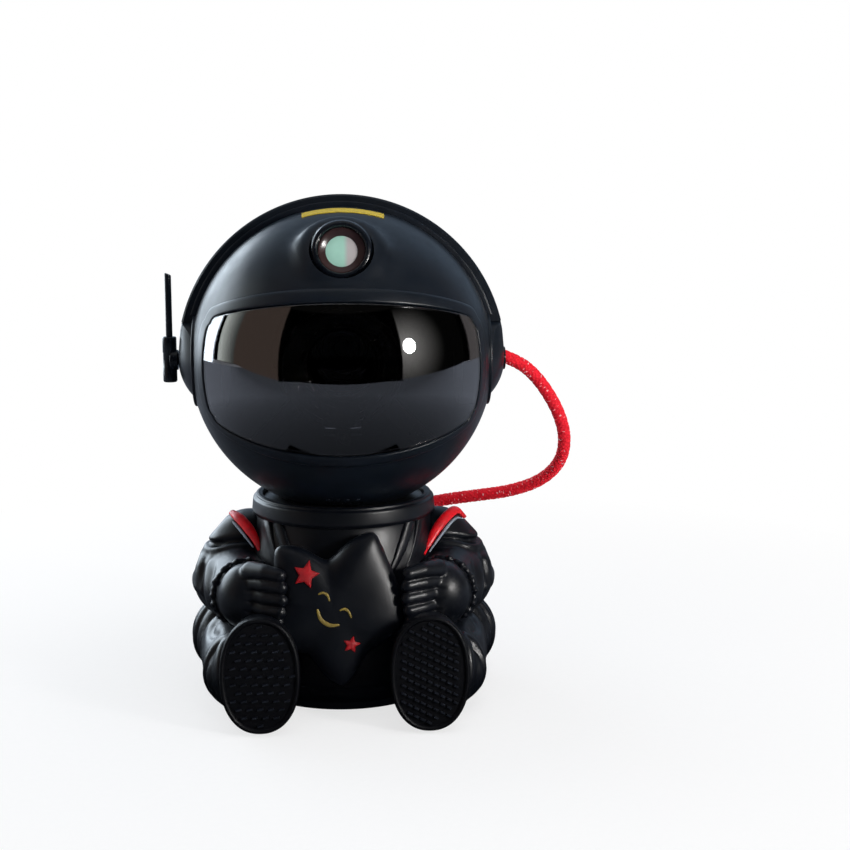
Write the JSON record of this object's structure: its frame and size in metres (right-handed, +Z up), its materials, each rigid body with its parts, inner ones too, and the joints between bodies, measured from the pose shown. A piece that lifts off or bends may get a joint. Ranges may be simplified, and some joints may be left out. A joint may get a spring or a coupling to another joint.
{
  "type": "astronaut star projector",
  "caption": "Seated astronaut night-light projector: round helmet with smoked visor and forehead laser, turning and tilting on a magnetic neck, with hose and antenna.",
  "frame": {"origin": "middle of the round anti-slip pad's underside, on the surface the projector stands on", "axes": "-Y is the front (visor and star), +X the viewer's right (hose side), +Z up through the head's turning axis"},
  "size_m": [0.1788, 0.133, 0.2137],
  "materials": {
    "black_abs": "satin moulded ABS, blue-black",
    "frame_abs": "satin moulded ABS",
    "inner_abs": "matt black ABS",
    "smoked_mirror": "smoked, half-silvered acrylic",
    "optical_glass": "clear ground lens",
    "green_filter": "coated window, green in reflection",
    "window_bezel": "dark brown moulded ring",
    "yellow_label": "blank yellow strip",
    "red_paint": "red lacquer",
    "gold_paint": "dull gold lacquer",
    "red_braid": "woven polyester braid",
    "sole_rubber": "moulded tread",
    "pad_foam": "EVA foam",
    "steel": "zinc plated",
    "magnet": "nickel plated magnet",
    "circuit_board": "green solder mask",
    "component_black": "moulded cases",
    "socket_steel": "formed shell",
    "button_abs": "satin moulded ABS, dark grey",
    "brass": "turned brass",
    "white_acetal": "moulded acetal",
    "clear_acrylic": "rippled clear acrylic",
    "lamp_aluminium": "aluminium-backed board and sink"
  },
  "bodies": {
    "torso": {"base_pad": "pad_foam", "base_plate": "black_abs", "base_screws": "steel", "ballast": "steel", "suit_front": "black_abs", "suit_rear": "black_abs", "collar_ring": "black_abs", "left_arm": "black_abs", "right_arm": "black_abs", "shoulder_stripes": "red_paint", "left_leg": "black_abs", "right_leg": "black_abs", "soles": "sole_rubber", "star": "black_abs", "star_face": "gold_paint", "star_badges": "red_paint", "hose_gland": "black_abs", "hose": "red_braid"},
    "neck": {"neck_dish": "inner_abs", "neck_magnet": "magnet", "stem_clip": "steel"},
    "head": {"face_shell": "black_abs", "rear_shell": "black_abs", "head_screws": "steel", "crown_band": "black_abs", "ear_cap_left": "black_abs", "ear_cap_right": "black_abs", "hose_ferrule": "black_abs", "visor_frame": "frame_abs", "visor": "smoked_mirror", "crown_label": "yellow_label", "control_plate": "black_abs", "main_board": "circuit_board", "board_parts": "component_black", "usb_socket": "socket_steel", "keeper_plate": "steel", "laser_hood": "black_abs", "window_ring": "window_bezel", "laser_window": "green_filter", "laser_module": "brass", "grating_motor": "steel", "lens_barrel": "inner_abs", "front_lens": "optical_glass", "ripple_motor": "steel", "module_frame": "inner_abs", "lamp_tube": "inner_abs", "condenser_lens": "optical_glass", "led_board": "lamp_aluminium", "heat_sink": "lamp_aluminium"},
    "ripple_wheel_body": {"ripple_wheel": "clear_acrylic"},
    "ripple_pinion_body": {"ripple_pinion": "white_acetal"},
    "grating_wheel_body": {"grating_wheel": "white_acetal"},
    "grating_pinion_body": {"grating_pinion": "white_acetal"},
    "antenna": {"antenna_base": "black_abs", "antenna_rod": "black_abs"},
    "power_key": {"power_button": "button_abs"},
    "nebula_key": {"nebula_button": "button_abs"},
    "laser_key": {"laser_button": "button_abs"}
  },
  "joints": [
    {"name": "head_turn", "type": "hinge", "parent": "torso", "child": "neck", "pos_m": [0, 0, 0.0725], "axis": [0, 0, 1], "range_deg": [-45, 45], "deforming": ["hose"]},
    {"name": "head_tilt", "type": "hinge", "parent": "neck", "child": "head", "pos_m": [0, 0, 0.1435], "axis": [1, 0, 0], "range_deg": [-25, 15]},
    {"name": "antenna_pivot", "type": "hinge", "parent": "head", "child": "antenna", "pos_m": [-0.0738, 0, 0.1435], "axis": [1, 0, 0], "range_deg": [-90, 90]},
    {"name": "ripple_spin", "type": "hinge", "parent": "head", "child": "ripple_wheel_body", "pos_m": [0, -0.0116, 0.1455], "axis": [0, 1, 0], "continuous": true},
    {"name": "ripple_pinion_spin", "type": "hinge", "parent": "head", "child": "ripple_pinion_body", "pos_m": [-0.01949, -0.0116, 0.13425], "axis": [0, 1, 0], "continuous": true},
    {"name": "grating_spin", "type": "hinge", "parent": "head", "child": "grating_wheel_body", "pos_m": [0, -0.03191, 0.18435], "axis": [0, -0.866, 0.5], "continuous": true},
    {"name": "grating_pinion_spin", "type": "hinge", "parent": "head", "child": "grating_pinion_body", "pos_m": [0, -0.02591, 0.19474], "axis": [0, -0.866, 0.5], "continuous": true},
    {"name": "power_press", "type": "slide", "parent": "head", "child": "power_key", "axis": [0, -1, 0], "range_m": [0, 0.0006], "stiffness_N_per_m": 900},
    {"name": "nebula_press", "type": "slide", "parent": "head", "child": "nebula_key", "axis": [0, -1, 0], "range_m": [0, 0.0006], "stiffness_N_per_m": 900},
    {"name": "laser_press", "type": "slide", "parent": "head", "child": "laser_key", "axis": [0, -1, 0], "range_m": [0, 0.0006], "stiffness_N_per_m": 900}
  ],
  "couplings": [
    {"joint": "ripple_pinion_spin", "follows": "ripple_spin", "ratio": -8},
    {"joint": "grating_pinion_spin", "follows": "grating_spin", "ratio": -3}
  ]
}
